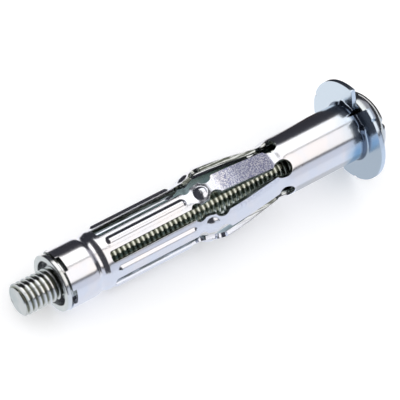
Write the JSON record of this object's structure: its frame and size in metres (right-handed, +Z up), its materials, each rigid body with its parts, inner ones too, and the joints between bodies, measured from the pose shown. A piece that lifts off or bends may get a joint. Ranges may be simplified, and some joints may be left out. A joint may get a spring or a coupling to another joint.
{
  "type": "hollow wall anchor",
  "caption": "Metal hollow wall anchor: slotted folding sleeve with split flange and crimped nut, on a round-head machine screw.",
  "frame": {"origin": "centre of the flange's wall face, on the anchor's axis", "axes": "+X towards the screw's tip, dipping as the anchor lies on a level surface; +Z up; one flange slit faces up and one down"},
  "size_m": [0.0627, 0.0156, 0.0153],
  "materials": {
    "sleeve_steel": "bright zinc plated",
    "nut_steel": "dull zinc plated",
    "screw_steel": "bright zinc plated, yellow-grey in the thread"
  },
  "bodies": {
    "anchor": {"sleeve": "sleeve_steel", "nut": "nut_steel"},
    "screw": {"screw": "screw_steel"}
  },
  "joints": [
    {"name": "screw_turn", "type": "hinge", "parent": "anchor", "child": "screw", "pos_m": [0, 0, 0], "axis": [-0.998, 0, 0.063], "range_deg": [0, 4680]}
  ]
}
